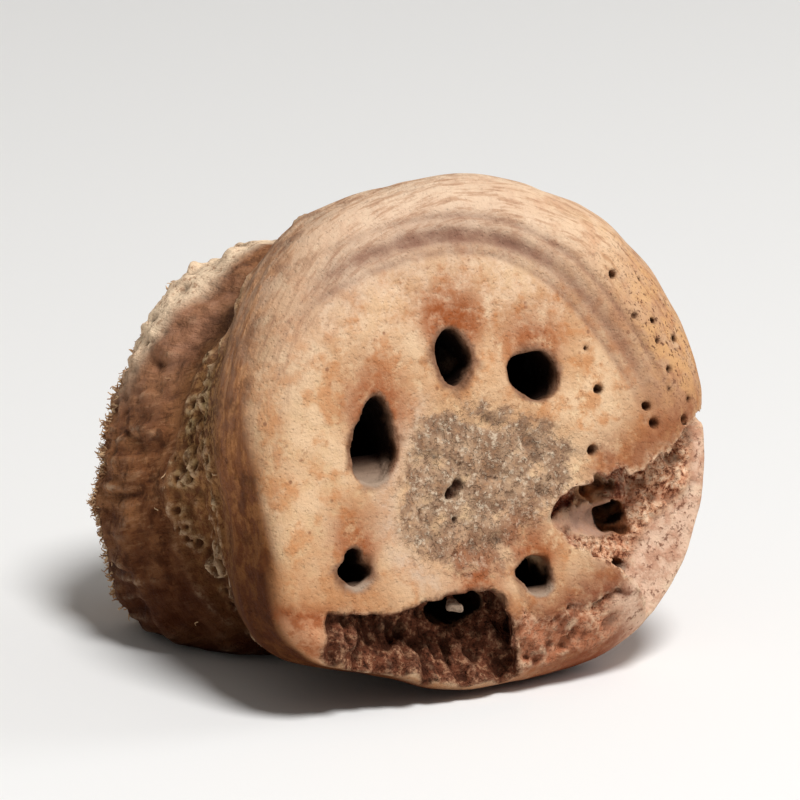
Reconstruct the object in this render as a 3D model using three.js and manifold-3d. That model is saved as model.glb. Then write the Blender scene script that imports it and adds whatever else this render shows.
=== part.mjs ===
// Dried lotus root node: the short joint of a lotus rhizome, cut across at both ends and dried hard.
// It lies on its side. +Z is up, the neat front cut faces -Y, and the rhizome's axis runs back along
// +Y and slopes down, because the front swelling is the bigger one. Units are millimetres.
import * as THREE from "three";
import { mergeVertices } from "three/addons/utils/BufferGeometryUtils.js";
import Module from "manifold-3d";

// ---- Driving dimensions ----
// The node's own frame: x across, y the distance behind the front cut, z up in the front cut.
const LENGTH = 26.2; // from the front cut to the rear cut
const AXIS_SLOPE = THREE.MathUtils.degToRad(15); // how far the axis drops towards the rear
const FRONT_PLACE = [0.278, -12.401, 16.1]; // where the middle of the front cut stands once laid down
const REAR_SHIFT = [-2.5, -1.0]; // the rear swelling's centre, across and up from the axis
const REAR_SQUASH = 0.05; // share by which the rear swelling is lower than it is wide
const SIDES = 36; // facets round the body
const CANAL_SIDES = 8; // facets round each air canal

// The flank's outline, as [distance behind the front cut, radius]: a swelling, the joint, a swelling.
const FLANK = [
  [0, 15.6], [2.5, 15.6], [5, 15.5], [7.5, 15.0], [10, 14.5], [12.5, 14.1],
  [15, 13.9], [18, 14], [20.5, 14], [23.5, 13.6], [LENGTH, 12.5],
];
const FRONT_ENDS = [6, 13]; // the front swelling's own bulges fade out between these distances
const REAR_BEGINS = [7, 19]; // the rear swelling's shift and bulges come in between these
const BROAD_SHOULDER = 4.8; // rounding of the front edge, over the top and the right
const CRISP_SHOULDER = 1.1; // the same at the lower left, at the bearing below
const CRISP_BEARING = 3.7;
const CRISP_SPREAD = 0.9;
const REAR_EDGE = 1; // rounding of the rear edge

// Where drying left a swelling fuller (or flatter): bearing and spread in radians, height.
const FRONT_BULGES = [
  { bearing: 0.0, spread: 0.3, height: 0.3 },
  { bearing: 0.6, spread: 0.45, height: 0.6 },
  { bearing: 2.2, spread: 0.6, height: 0.85 },
  { bearing: 3.3, spread: 0.35, height: 0.2 },
  { bearing: 3.78, spread: 0.3, height: 2.8 },
  { bearing: 5.6, spread: 0.5, height: 1.2 },
];
const REAR_BULGES = [
  { bearing: 1.95, spread: 0.3, height: 0.7 },
  { bearing: 2.75, spread: 0.45, height: -0.8 },
  { bearing: 3.75, spread: 0.45, height: 1.4 },
];

// Air canals. `front` is the small mouth's centre in the front cut (across, up) and `size` its width
// and height; `bearing` and `rear` are the big mouth's direction from the pith, width and depth.
const THROAT = [2.5, 12.5]; // each canal widens between these distances behind the front cut
const REAR_PITH = [0, 1.6]; // middle of the ring of big mouths, from the rear swelling's centre
const REAR_RING = 8.2; // distance of the big mouths from the pith
const REAR_RING_SQUASH = 0.86; // the ring is this much lower than it is wide
const CANALS = [
  { front: [-2.4, 5.0], size: [2.8, 3.7], bearing: 100, rear: [5.4, 6.0] },
  { front: [2.8, 3.3], size: [3.5, 3.2], bearing: 50, rear: [5.3, 6.0] },
  { front: [8.4, -6.5], size: [2.4, 2.2], bearing: -2, rear: [5.1, 5.8] },
  { front: [1.4, -9.0], size: [2.8, 2.4], bearing: -54, rear: [5.2, 5.6] },
  { front: [-3.0, -11.1], size: [3.2, 2.4], bearing: -103, rear: [5.0, 5.4] },
  { front: [-10.6, -7.1], size: [2.4, 2.6], bearing: -153, rear: [5.2, 5.8] },
  { front: [-8.3, 0.8], size: [2.9, 5.2], bearing: 152, rear: [5.3, 6.0] },
];

// Places where the dried end has crumbled away: centre (across, along, up), half sizes, and turn.
const BREAKS = [
  { at: [14.2, -0.8, -5.6], half: [9.6, 4.0, 5.0], turn: 8 }, // chipped shoulder, low on the right
  { at: [-5.6, -0.6, -15.2], half: [5.8, 4.6, 5.6], turn: -4 }, // hollow under the front cut
];

const wasm = await Module();
wasm.setup();

// ---- From three.js geometry to solids and back ----
function solidFrom(geometry) {
  const bare = geometry.clone();
  bare.deleteAttribute("normal");
  bare.deleteAttribute("uv");
  const merged = mergeVertices(bare, 1e-4);
  return new wasm.Manifold(
    new wasm.Mesh({
      numProp: 3,
      vertProperties: new Float32Array(merged.attributes.position.array),
      triVerts: new Uint32Array(merged.index.array),
    }),
  );
}

function geometryFrom(solid) {
  const mesh = solid.getMesh();
  const geometry = new THREE.BufferGeometry();
  geometry.setAttribute("position", new THREE.BufferAttribute(mesh.vertProperties, 3));
  geometry.setIndex(new THREE.BufferAttribute(mesh.triVerts, 1));
  geometry.computeVertexNormals();
  return geometry;
}

// Calls move(vertex) on each vertex, which changes it in place.
function reshape(geometry, move) {
  const position = geometry.attributes.position;
  const vertex = new THREE.Vector3();
  for (let i = 0; i < position.count; i++) {
    vertex.fromBufferAttribute(position, i);
    move(vertex);
    position.setXYZ(i, vertex.x, vertex.y, vertex.z);
  }
  return geometry;
}

// A straight tube of radius 1 along y, closed at both ends, with a ring of vertices at each station.
function unitTube(stations, sides) {
  const profile = [
    new THREE.Vector2(0, stations[0]),
    ...stations.map((s) => new THREE.Vector2(1, s)),
    new THREE.Vector2(0, stations.at(-1)),
  ];
  return new THREE.LatheGeometry(profile, sides);
}

// ---- The body: a turned outline that shrank out of round as it dried ----
const flankRadius = new THREE.CubicInterpolant(
  FLANK.map(([distance]) => distance),
  FLANK.map(([, radius]) => radius),
  1,
);

// 1 at the bearing `at`, falling off to either side over `spread`.
function bell(bearing, at, spread) {
  const apart = Math.atan2(Math.sin(bearing - at), Math.cos(bearing - at));
  return Math.exp(-((apart / spread) ** 2));
}

// How far a rounded edge lies inside the full radius, at a distance from the cut.
function roundedEdge(distance, rounding) {
  const inside = THREE.MathUtils.clamp(rounding - distance, 0, rounding);
  return rounding - Math.sqrt(rounding ** 2 - inside ** 2);
}

function bodyRadius(bearing, distance) {
  const front = 1 - THREE.MathUtils.smoothstep(distance, ...FRONT_ENDS);
  const rear = THREE.MathUtils.smoothstep(distance, ...REAR_BEGINS);
  const crisp = bell(bearing, CRISP_BEARING, CRISP_SPREAD);
  const shoulder = THREE.MathUtils.lerp(BROAD_SHOULDER, CRISP_SHOULDER, crisp);
  let radius = flankRadius.evaluate(distance)[0];
  for (const b of FRONT_BULGES) radius += front * b.height * bell(bearing, b.bearing, b.spread);
  for (const b of REAR_BULGES) radius += rear * b.height * bell(bearing, b.bearing, b.spread);
  return radius - roundedEdge(distance, shoulder) - roundedEdge(LENGTH - distance, REAR_EDGE);
}

// Carries a point from round the straight axis to round the shifted, lower rear swelling.
function settle(v) {
  const share = THREE.MathUtils.smoothstep(v.y, ...REAR_BEGINS);
  v.x += REAR_SHIFT[0] * share;
  v.z = v.z * (1 - REAR_SQUASH * share) + REAR_SHIFT[1] * share;
}

function body() {
  const stations = [0, 0.4, 1.3, 2.8, 4.8, 7.5, 10, 12.5, 15, 18.5, 22, LENGTH - REAR_EDGE, LENGTH];
  return reshape(unitTube(stations, SIDES), (v) => {
    const radius = bodyRadius(Math.atan2(v.z, v.x), v.y);
    v.x *= radius;
    v.z *= radius;
    settle(v);
  });
}

// ---- An air canal: narrow where it opens in the front cut, wide at the rear ----
function canal({ front, size, bearing, rear }) {
  const outward = THREE.MathUtils.degToRad(bearing);
  const stations = [-2, THROAT[0], 5, 7.5, 10, THROAT[1], LENGTH + 2];
  return reshape(unitTube(stations, CANAL_SIDES), (v) => {
    const share = THREE.MathUtils.smoothstep(v.y, ...THROAT);
    // Section at the front: an ellipse, upright in the cut.
    const frontX = front[0] + (v.x * size[0]) / 2;
    const frontZ = front[1] + (v.z * size[1]) / 2;
    // Section at the rear: an egg, broad towards the rind and narrow towards the pith.
    const radial = v.x * Math.cos(outward) + v.z * Math.sin(outward);
    const tangential = v.z * Math.cos(outward) - v.x * Math.sin(outward);
    const far = REAR_RING + (radial * rear[1]) / 2;
    const aside = ((tangential * rear[0]) / 2) * (1 + 0.24 * radial);
    const rearX = far * Math.cos(outward) - aside * Math.sin(outward);
    const rearZ = far * Math.sin(outward) + aside * Math.cos(outward);
    v.x = THREE.MathUtils.lerp(frontX, REAR_PITH[0] + rearX, share);
    v.z = THREE.MathUtils.lerp(frontZ, REAR_PITH[1] + rearZ * REAR_RING_SQUASH, share);
    settle(v);
  });
}

// ---- A crumbled place: a lumpy scoop ----
function scoop({ at, half, turn }) {
  const lump = reshape(new THREE.SphereGeometry(1, 12, 8), (v) => {
    v.multiplyScalar(1 + 0.05 * Math.sin(4 * v.x + 1) * Math.cos(5 * v.z) * (1 - v.y * v.y));
  });
  return lump
    .scale(...half)
    .rotateY(-THREE.MathUtils.degToRad(turn))
    .translate(...at);
}

// ---- Lay the node down on its side ----
const laid = new THREE.Matrix4()
  .makeTranslation(...FRONT_PLACE)
  .multiply(new THREE.Matrix4().makeRotationX(-AXIS_SLOPE));

let node = solidFrom(body().applyMatrix4(laid));
for (const one of CANALS) node = node.subtract(solidFrom(canal(one).applyMatrix4(laid)));
for (const one of BREAKS) node = node.subtract(solidFrom(scoop(one).applyMatrix4(laid)));

// The underside has flattened where the node rests.
const below = new THREE.BoxGeometry(60, 60, 20).translate(0, 0, -10);
node = node.subtract(solidFrom(below));

const material = new THREE.MeshStandardMaterial({ color: 0xb98f66, roughness: 0.9, metalness: 0 });
const mesh = new THREE.Mesh(geometryFrom(node), material);
mesh.name = "lotus_root_node";

const part = new THREE.Group();
part.name = "dried_lotus_root_node";
part.add(mesh);

export default part;
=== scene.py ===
"""Dried lotus root node: the finished surface, its root fibres, and the studio it is shown in."""
import math

import bpy
import numpy as np
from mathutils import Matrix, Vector


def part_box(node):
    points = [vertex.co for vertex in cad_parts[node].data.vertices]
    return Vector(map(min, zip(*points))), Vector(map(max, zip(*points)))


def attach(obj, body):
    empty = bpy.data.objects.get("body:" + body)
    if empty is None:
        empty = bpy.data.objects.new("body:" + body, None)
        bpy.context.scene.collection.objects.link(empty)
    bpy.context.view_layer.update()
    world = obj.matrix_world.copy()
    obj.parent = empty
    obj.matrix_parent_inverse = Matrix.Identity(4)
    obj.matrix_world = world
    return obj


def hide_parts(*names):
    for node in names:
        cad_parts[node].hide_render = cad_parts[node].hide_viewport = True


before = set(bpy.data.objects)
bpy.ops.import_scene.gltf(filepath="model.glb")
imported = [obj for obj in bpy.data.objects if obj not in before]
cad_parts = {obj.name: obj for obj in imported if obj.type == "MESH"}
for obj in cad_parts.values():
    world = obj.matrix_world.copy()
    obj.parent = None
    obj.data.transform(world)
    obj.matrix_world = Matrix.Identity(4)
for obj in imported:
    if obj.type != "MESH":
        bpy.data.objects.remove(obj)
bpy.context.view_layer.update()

# ==== The swollen flank ====
# The node is the short joint of a lotus rhizome: a fat swelling at the front cut, a pinched joint,
# and a second swelling behind, all one piece that shrank and wrinkled as it dried. It is shaped in
# millimetres in its own frame: x across, s behind the front cut, z up in the front cut.
LENGTH = 26.2
STEP = 0.19
REAR_SHIFT = (-2.5, -1)
REAR_SQUASH = 0.05
REAR_BEGINS = (7, 19)
# The flank's outline: distance behind the front cut, radius.
OUTLINE = [
    (0, 15.6), (2.5, 15.6), (5, 15.5), (7.5, 15), (10, 14.5), (12.5, 14.1),
    (15, 13.9), (18, 14), (20.5, 14), (23.5, 13.6), (LENGTH, 12.5), (LENGTH + 2, 11.6),
]
# Each bulge is its bearing, spread and height.
FRONT_BULGES = [
    (0, 0.3, 0.3), (0.6, 0.45, 0.6), (2.2, 0.6, 0.85),
    (3.3, 0.35, 0.2), (3.78, 0.3, 2.8), (5.6, 0.5, 1.2),
]
REAR_BULGES = [(1.95, 0.3, 0.7), (2.75, 0.45, -0.8), (3.75, 0.45, 1.4)]
FRONT_ENDS = (6, 13)
JOINT = 10.3
JOINT_HALF = 2.3
SCARS = 280
BEARINGS = np.linspace(-math.pi, math.pi, 900, endpoint=False)

across = np.arange(-18, 17.6, STEP)
behind = np.arange(-1.4, LENGTH + 1.4, STEP)
upward = np.arange(-17.6, 17.6, STEP)
X, S, Z = np.meshgrid(across, behind, upward, indexing="ij", sparse=True)
X, S, Z = X.astype(np.float32), S.astype(np.float32), Z.astype(np.float32)


def ease(value, start, end):
    share = np.clip((value - start) / (end - start), 0, 1)
    return share * share * (3 - 2 * share)


def fade(value, start, end):
    return 1 - ease(value, start, end)


def hump(value, middle, spread):
    return np.exp(-(((value - middle) / spread) ** 2))


def distance(*offsets):
    return np.sqrt(sum(offset**2 for offset in offsets))


def bell(bearing, middle, spread):
    apart = np.abs(bearing - middle) % (2 * math.pi)
    return np.exp(-((np.minimum(apart, 2 * math.pi - apart) / spread) ** 2))


def straighten(x, s, z):
    """The same place before the rear swelling shifted and sank."""
    share = ease(s, *REAR_BEGINS)
    return x - REAR_SHIFT[0] * share, (z - REAR_SHIFT[1] * share) / (1 - REAR_SQUASH * share)


def threads(places, pitch, around=0):
    """Weights that carry heights set every `pitch` smoothly to these places."""
    along = (places - places[0]) / pitch
    first = along.astype(int)
    t = along - first
    share = [(1 - t) ** 3, 3 * t**3 - 6 * t**2 + 4, 3 * t * (1 + t - t * t) + 1, t**3]
    weights = np.zeros((len(places), around or first[-1] + 4))
    for k in range(4):
        weights[np.arange(len(places)), (first + k) % weights.shape[1]] += share[k] / 6
    return weights


def lumps(seed, *rows):
    """Smooth random heights of about unit size, over a map or through a block."""
    heights = np.random.default_rng(seed).normal(size=[row.shape[1] for row in rows])
    for row in rows:
        heights = np.tensordot(heights, row, axes=(0, 1))
    return (heights / 0.69 ** len(rows)).astype(np.float32)


def ring(count):
    return threads(BEARINGS, 2 * math.pi / count, count)


def flank_lumps(seed, count, pitch):
    """Lumps over the flank, this many round it and with this pitch along it."""
    return lumps(seed, ring(count), threads(behind, pitch))


def flank_shape():
    """Radius for each bearing and distance, with the ring of root scars at the pinched joint."""
    theta = BEARINGS[:, None]
    s = behind[None, :]
    places, radii = zip(*OUTLINE)
    slopes = np.gradient(radii, places)
    i = np.clip(np.searchsorted(places, behind) - 1, 0, len(places) - 2)
    gap = np.diff(places)[i]
    t = np.clip((behind - np.take(places, i)) / gap, 0, 1)
    lean = t * (1 - t) * ((1 - t) * slopes[i] - t * slopes[i + 1]) * gap
    radius = np.take(radii, i) * fade(t, 0, 1) + np.take(radii, i + 1) * ease(t, 0, 1) + lean
    radius = radius[None, :] + np.zeros_like(theta)
    for middle, spread, height in FRONT_BULGES:
        radius += fade(s, *FRONT_ENDS) * height * bell(theta, middle, spread)
    for middle, spread, height in REAR_BULGES:
        radius += ease(s, *REAR_BEGINS) * height * bell(theta, middle, spread)

    front = fade(s, 7, 10)
    rear = ease(s, 12.5, 15)
    joint = JOINT + 0.5 * np.sin(2 * theta + 1) + 0.3 * lumps(11, ring(14))[:, None]
    groove = hump(s, joint, JOINT_HALF)
    # drying: broad hollows, fine rings on the front swelling, lengthwise creases on the rear one
    relief = 0.15 * flank_lumps(12, 24, 3.5)
    relief += front * 0.06 * flank_lumps(13, 34, 0.7)
    creases = flank_lumps(14, 60, 6)
    relief += rear * (0.05 - 0.13 * np.exp(-((creases / 0.3) ** 2)))
    relief += rear * 0.13 * flank_lumps(19, 46, 2.2)
    relief += (0.3 + rear) * 0.09 * flank_lumps(15, 110, 0.9)
    relief += rear * 0.05 * flank_lumps(18, 240, 1.6)
    relief += ease(s, 16, 21) * 0.11 * flank_lumps(24, 290, 2.6)
    relief -= groove * (1 - 0.85 * bell(theta, 3.2, 0.7))
    relief -= 1.4 * bell(theta, 2.1, 0.55) * hump(s, 13.4, 3)
    relief += 0.2 * hump(s, joint - 2.9, 0.4) + 0.25 * hump(s, joint + 2.9, 0.5)
    crest = bell(theta, 2.1, 0.6) * hump(s, 22, 3.6)
    crust = np.clip(flank_lumps(20, 120, 0.7), -1.5, 1.5)
    relief += crest * (0.5 + 0.26 * crust + 0.1 * flank_lumps(25, 230, 0.45))

    # each root left a raised ring round a dark pit where it dropped off
    scars = np.zeros_like(radius)
    rng = np.random.default_rng(16)
    for _ in range(SCARS):
        middle = rng.uniform(-math.pi, math.pi)
        size = rng.uniform(0.22, 0.5)
        place = np.interp(middle, BEARINGS, joint[:, 0]) + rng.uniform(-3.4, 2.8) + rng.normal(0, 0.4)
        away = np.hypot(14 * np.sqrt(-np.log(bell(theta, middle, 1) + 1e-12)), s - place)
        rim = hump(away, size, 0.2)
        pit = hump(away, 0, 0.6 * size)
        relief += 0.26 * rim - 0.4 * pit
        scars = np.maximum(scars, rim)
    crumbly = groove * np.clip(flank_lumps(17, 190, 0.5), -1.5, 1.5)
    relief += 0.17 * crumbly
    relief = np.clip(relief, -2.2, 0.75)
    return (radius + relief).astype(np.float32), scars.astype(np.float32)


flank_radius, scar_map = flank_shape()
straight_x, straight_z = straighten(X, S, Z)
bearing = np.arctan2(straight_z, straight_x)
flank = np.hypot(straight_x, straight_z)
for j in range(len(behind)):
    flank[:, j] -= np.interp(bearing[:, j], BEARINGS, flank_radius[:, j], period=2 * math.pi)

# ==== The front cut ====
# A knife cut straight across, since dried: the pith has sunk and gone spongy, the skin has curled
# over the cut as a broad pale roll, and a dark line shows where that roll meets the cut flesh.
BROAD_SHOULDER = 4.8
CRISP_SHOULDER = 1.1
CRISP_BEARING = 3.7
CRISP_SPREAD = 0.9
SKIN_LINE = (-3.5, -2.5, 14.7)  # the middle and radius of the dark line's arc
PITH = [
    (-4.6, 1.6), (-1.8, 1.8), (2, 0.3), (5.6, -1.8), (5.4, -3.5), (3, -4.9),
    (1.1, -6.8), (-0.3, -8.2), (-2.9, -8.8), (-5.2, -7.7), (-7, -5.8), (-7.3, -3.6), (-6, -1),
]
ROUND = np.linspace(-math.pi, math.pi, 72, endpoint=False)


def meet(one, other, rounding):
    """Where two shapes overlap, with the edge between them rounded."""
    rounding = np.float32(rounding)
    corner = np.hypot(np.maximum(one + rounding, 0), np.maximum(other + rounding, 0))
    return np.minimum(np.maximum(one, other), -rounding) + corner


def outline(points):
    """A closed outline through a few points: its middle, and its radius at each bearing."""
    points = np.array(points, float)
    middle = points.mean(0)
    away = points - middle
    turns = np.arctan2(away[:, 1], away[:, 0])
    radius = np.interp(ROUND, turns, np.hypot(*away.T), period=2 * math.pi)
    for _ in range(3):
        radius = (np.roll(radius, 1) + 2 * radius + np.roll(radius, -1)) / 4
    return middle, radius


def beyond(outline_radius, x, z):
    """How far a place (from the outline's middle) lies outside an outline."""
    reach = np.interp(np.arctan2(z, x), ROUND, outline_radius, period=2 * math.pi)
    return np.hypot(x, z) - reach


def cut_lumps(seed, pitch):
    return lumps(seed, threads(across, pitch), threads(upward, pitch))


pith_middle, pith_radius = outline(PITH)


def skin_line(x, z):
    """Strength of the dark line where the curled skin meets the cut flesh."""
    turn = np.arctan2(z - SKIN_LINE[1], x - SKIN_LINE[0])
    away = np.hypot(x - SKIN_LINE[0], z - SKIN_LINE[1]) - SKIN_LINE[2] - 0.25 * np.sin(5 * turn + 2)
    there = ease(turn, -0.15, 0.5) * (1 - 0.6 * ease(turn, 2, 2.4)) * fade(turn, 2.7, 3)
    deep = 0.4 + 0.6 * hump(turn, 1.45, 0.4)
    lines = deep * hump(away, 0, 0.5) + 0.45 * hump(away, 1.25, 0.25) + 0.4 * hump(away, -1, 0.25)
    return there * np.clip(0.9 * lines + 0.35 * hump(away, 0.2, 1.5), 0, 1)


def in_pith(x, z):
    return fade(beyond(pith_radius, x - pith_middle[0], z - pith_middle[1]), -1.5, 1.1)


cut_x, cut_z = across[:, None], upward[None, :]
front_dent = 0.13 * cut_lumps(21, 5)
front_dent += 0.05 * cut_lumps(22, 1.3)
front_dent += 0.35 * skin_line(cut_x, cut_z)
sponge = cut_lumps(23, 0.62)
front_dent += in_pith(cut_x, cut_z) * (0.22 + 0.16 * np.clip(sponge, 0, 2))
front_dent = front_dent[:, None, :].astype(np.float32)

crispness = bell(bearing, CRISP_BEARING, CRISP_SPREAD)
shoulder = BROAD_SHOULDER + (CRISP_SHOULDER - BROAD_SHOULDER) * crispness
body = meet(flank, front_dent - S, shoulder)

# ==== The rear cut ====
# The other end was cut where the air canals are wide, so only thin walls stand between them, with
# rims that have shrunk unevenly and frayed.
REAR_EDGE = 0.5
rear_dent = 0.35 * cut_lumps(31, 3.2)
rear_dent += 0.16 * cut_lumps(32, 1.1) + 0.3
rear_dent = np.clip(rear_dent, -0.4, 2)[:, None, :].astype(np.float32)
body = meet(body, S + rear_dent - LENGTH, REAR_EDGE)

# ==== The air canals ====
# Seven tubes run through the node round its pith. At the front cut each shows as a small dark
# mouth, drawn in by the knot; behind the knot they open out to broad eggs. Their lining is a thin
# smooth skin with faint lengthwise ripples.
THROAT = (2.5, 12.5)
REAR_PITH = (0, 1.6)
REAR_RING = 8.2
REAR_RING_SQUASH = 0.86
# Each canal: its mouth in the front cut, then the bearing, width and depth of its big rear end.
MOUTH_TOP = [
    (-3.2, 6.4), (-2.2, 6.6), (-1.5, 6), (-1.1, 5), (-1.4, 3.7), (-2.2, 2.9), (-3, 3.2),
    (-3.5, 4.3), (-3.6, 5.6),
]
MOUTH_TOP_RIGHT = [(2.6, 4.8), (3.9, 4.4), (4.6, 3.3), (4.1, 2), (2.8, 1.6), (1.5, 2.4), (1.2, 3.8)]
MOUTH_RIGHT = [(7.6, -5.7), (8.6, -5.6), (9.4, -6.1), (8.7, -6.9), (7.6, -6.8)]
MOUTH_LOW_RIGHT = [
    (0.5, -8.3), (1.3, -7.9), (2.1, -8.1), (2.5, -8.8), (2.6, -9.7), (2, -10.2), (1.3, -10.1),
    (0.6, -9.4), (0, -8.8),
]
MOUTH_LOW = [
    (-5, -10.4), (-3.7, -9.8), (-2, -9.6), (-0.9, -9.9), (-0.7, -10.6), (-1.8, -11.1),
    (-3.4, -11.2), (-4.7, -10.9),
]
MOUTH_LOW_LEFT = [
    (-10.4, -5.7), (-9.8, -6.6), (-9.2, -7.5), (-9.8, -8), (-10.5, -8.5), (-11.3, -7.8),
    (-12, -7.1), (-11.1, -6.6),
]
MOUTH_LEFT = [
    (-7.7, 3.5), (-7, 1.4), (-6.7, 0), (-7.2, -1.2), (-8.2, -2.2), (-9, -2.3), (-9.9, -1.1),
    (-10, 0.2), (-9, 1.7),
]
CANALS = [
    (MOUTH_TOP, 100, 5.4, 6),
    (MOUTH_TOP_RIGHT, 50, 5.3, 6),
    (MOUTH_RIGHT, -2, 5.1, 5.8),
    (MOUTH_LOW_RIGHT, -54, 5.2, 5.6),
    (MOUTH_LOW, -103, 5, 5.4),
    (MOUTH_LOW_LEFT, -153, 5.2, 5.8),
    (MOUTH_LEFT, 152, 5.3, 6),
]
FLAPS = {3: (-10.3, 1.2), 5: (-8.6, 1.3), 6: (-2.3, 3)}  # canal: foot, and how far in it leans
MOUTH_EDGE = 0.08
MOUTH_DRAWN_IN = 0.1
CANAL_ROOM = 4.6


def rear_end(turn):
    """The middle of a canal's rear end, across and up, before the rear swelling shifted."""
    outward = math.radians(turn)
    rise = REAR_RING * math.sin(outward) * REAR_RING_SQUASH
    return REAR_PITH[0] + REAR_RING * math.cos(outward), REAR_PITH[1] + rise


def canal_gap(canal, x, s, z):
    """How far a place lies outside a canal."""
    mouth, turn, width, depth = canal
    middle, radius = outline(mouth)
    outward = math.radians(turn)
    share = ease(s, *THROAT)
    level_x, level_z = straighten(x, s, z)
    rear_x, rear_z = rear_end(turn)
    off_x = level_x - middle[0] - (rear_x - middle[0]) * share
    off_z = level_z - middle[1] - (rear_z - middle[1]) * share
    flat_z = off_z / REAR_RING_SQUASH
    radial = (off_x * math.cos(outward) + flat_z * math.sin(outward)) / (depth / 2)
    aside = (flat_z * math.cos(outward) - off_x * math.sin(outward)) / (width / 2)
    egg = np.hypot(radial, aside / (1 + 0.24 * np.clip(radial, -1.2, 1.2)))
    rear_gap = np.hypot(off_x, off_z) * (1 - 1 / np.maximum(egg, 0.1))
    front_gap = beyond(radius, off_x, off_z)
    return front_gap + (rear_gap - front_gap) * share


def flap_gap(flap, s, z):
    """How far a place lies under the flap of lining that leans up across the foot of a mouth."""
    foot, reach = flap
    crest = foot + 0.62 * np.minimum(s, reach) - 2 * np.maximum(s - reach, 0)
    return 0.8 * (crest - z)


def near(*ranges):
    """The part of the grid inside these ranges of x, s and z."""
    axes = (across, behind, upward)
    return tuple(slice(*np.searchsorted(axis, ends)) for axis, ends in zip(axes, ranges))


def spots(block):
    return X[block[0]], S[:, block[1]], Z[:, :, block[2]]


def inner_lumps(seed, x_pitch, s_pitch, z_pitch):
    """Lumps through the whole node."""
    return lumps(seed, threads(across, x_pitch), threads(behind, s_pitch), threads(upward, z_pitch))


ripple = inner_lumps(41, 0.9, 5, 0.9)
ragged = 0.6 * inner_lumps(44, 1.3, 1.6, 1.3)
ragged += inner_lumps(45, 0.5, 0.9, 0.5)
canals = np.full(body.shape, 9, np.float32)
for index, canal in enumerate(CANALS):
    ends = np.array([np.mean(canal[0], 0), np.add(rear_end(canal[1]), REAR_SHIFT)])
    low, high = ends.min(0) - CANAL_ROOM, ends.max(0) + CANAL_ROOM
    block = near((low[0], high[0]), (-9, 99), (low[1], high[1]))
    gap = canal_gap(canal, *spots(block)) + 0.09 * ripple[block]
    frayed, smooth = (0.34, 4) if canal[0] is MOUTH_RIGHT else (0.06, 1)
    gap += fade(S[:, block[1]], smooth, smooth + 3) * (MOUTH_DRAWN_IN + frayed * ragged[block])
    if index in FLAPS:
        gap = np.maximum(gap, flap_gap(FLAPS[index], S[:, block[1]], Z[:, :, block[2]]))
    canals[block] = np.minimum(canals[block], gap)
body = meet(body, -canals, MOUTH_EDGE)

# ==== The crumbled places ====
# Low on the right the shoulder has chipped away: a step under the sound flesh, a crumbly slope
# falling outwards to the rind, and half of one air canal laid open. Below, the flesh has come out
# in a deep fibrous hollow beside a hanging flap of rind. Small pits dot the shoulder.
CHIP_TOP = [
    (2.8, -4.9), (3.4, -4.6), (5.5, -4.2), (6.3, -3.4), (9, -3.1), (11.2, -2.4), (13, -1.6), (17, -0.2),
]
CHIP_FOOT = [(2.8, -5.2), (3.2, -6.7), (4.9, -7.9), (6.9, -8.9), (8.2, -10.1), (9.2, -11.6), (10.5, -16)]
CRACK = [(-1.2, -11.4), (2.1, -11.7), (5.2, -11.2), (8.4, -10.8), (11, -10.4)]
OPEN_CANAL = ((4.4, 0.45, -5.7), (7.9, 2.3, -6.3), 0.95)  # from, to, radius
HOLLOW_TOP = [
    (-14, -9.2), (-12.6, -9.7), (-10.1, -10), (-8.5, -10.2), (-6.8, -9.9), (-5.2, -9.6), (-3.2, -9.4),
    (-1.6, -9.5), (-0.7, -10.4),
]
BREAK_EDGE = 0.12
# Small holes: across, up and size, and for those under the ledge also the distance behind.
SHOULDER_PITS = [
    (10.5, 5.9, 0.3), (11.8, 5.4, 0.28), (11.9, 4.2, 0.26), (13.3, 4.2, 0.34), (10.4, 0.3, 0.3),
    (10.7, -0.8, 0.34), (12.4, 2.4, 0.26), (6.7, 4.3, 0.22), (12.1, 1.2, 0.22), (13.6, 0.4, 0.3),
    (9.3, 8.6, 0.24), (13.5, 6.4, 0.24), (11.5, 8.1, 0.2), (13, -0.9, 0.26),
]
FACE_PITS = [
    (7.2, 1.7, 0.36), (6.3, -1.9, 0.44), (-2.9, -2.9, 0.55), (-3.3, -3.3, 0.5), (-3.7, -3.5, 0.35),
    (-3.4, -5, 0.3), (3.6, -5, 0.5), (3, -5.6, 0.35),
]
LEDGE_PITS = [
    (6.3, 1.8, -4.4, 0.6), (7.4, 1.9, -4.2, 0.75), (8.5, 2.1, -4.3, 0.6), (9.6, 2.3, -4.4, 0.4),
    (7.6, 2.1, -7.9, 0.4), (8.6, 2.3, -9.2, 0.5), (9.3, 2.4, -6.2, 0.5),
]
# A shred of lining hangs in the lowest mouth: each part from, to, radius.
SHRED_ROOT = ((-3.7, 2.2, -8.3), (-3.7, 1.2, -10), 0.46)
SHRED_TIP = ((-3.95, 1.05, -10.2), (-3.45, 0.95, -10.3), 0.4)


def line(points, x):
    return np.interp(x, *zip(*points))


def tube_gap(tube, x, s, z):
    """How far a place lies outside a round-ended tube."""
    (x0, s0, z0), (x1, s1, z1), radius = tube
    run = (x1 - x0, s1 - s0, z1 - z0)
    share = ((x - x0) * run[0] + (s - s0) * run[1] + (z - z0) * run[2]) / np.dot(run, run)
    share = np.clip(share, 0, 1)
    off_x = x - x0 - share * run[0]
    off_s = s - s0 - share * run[1]
    off_z = z - z0 - share * run[2]
    return distance(off_x, off_s, off_z) - radius


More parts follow.
